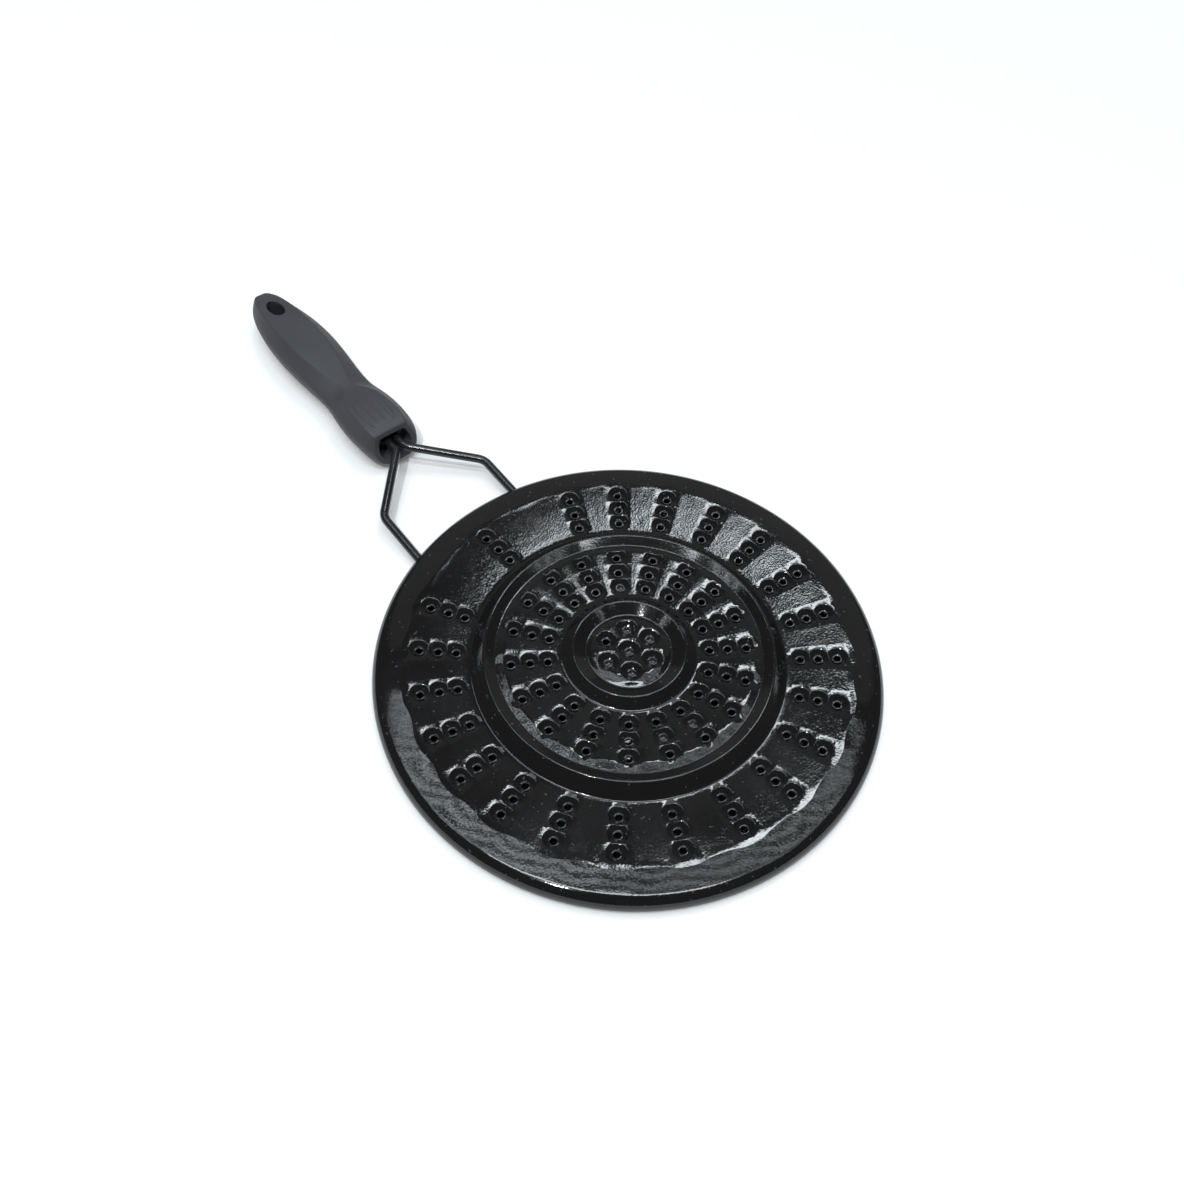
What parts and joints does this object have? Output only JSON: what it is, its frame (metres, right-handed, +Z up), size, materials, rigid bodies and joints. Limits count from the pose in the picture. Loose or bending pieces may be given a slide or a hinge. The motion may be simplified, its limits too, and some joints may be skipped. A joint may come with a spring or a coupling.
{
  "type": "gas hob heat diffuser plate",
  "caption": "Round enamelled steel heat diffuser plate with raised rings and rows of pierced dimples, on a bent wire fork with a moulded handle.",
  "frame": {"origin": "centre of the round plate, on the plane of the hem that it stands on", "axes": "+Z up through the middle of the plate, +X out towards the handle, +Y to the left of the handle seen from the plate"},
  "size_m": [0.3883, 0.208, 0.0201],
  "materials": {
    "enamelled_steel": "black vitreous enamel, glossy with a fine pebble",
    "fork_wire": "glossy black enamelled wire",
    "handle_plastic": "fine matte moulded thermoset plastic"
  },
  "bodies": {
    "root": {"top_plate": "enamelled_steel", "base_plate": "enamelled_steel", "wire_fork": "fork_wire", "handle": "handle_plastic"}
  },
  "joints": []
}
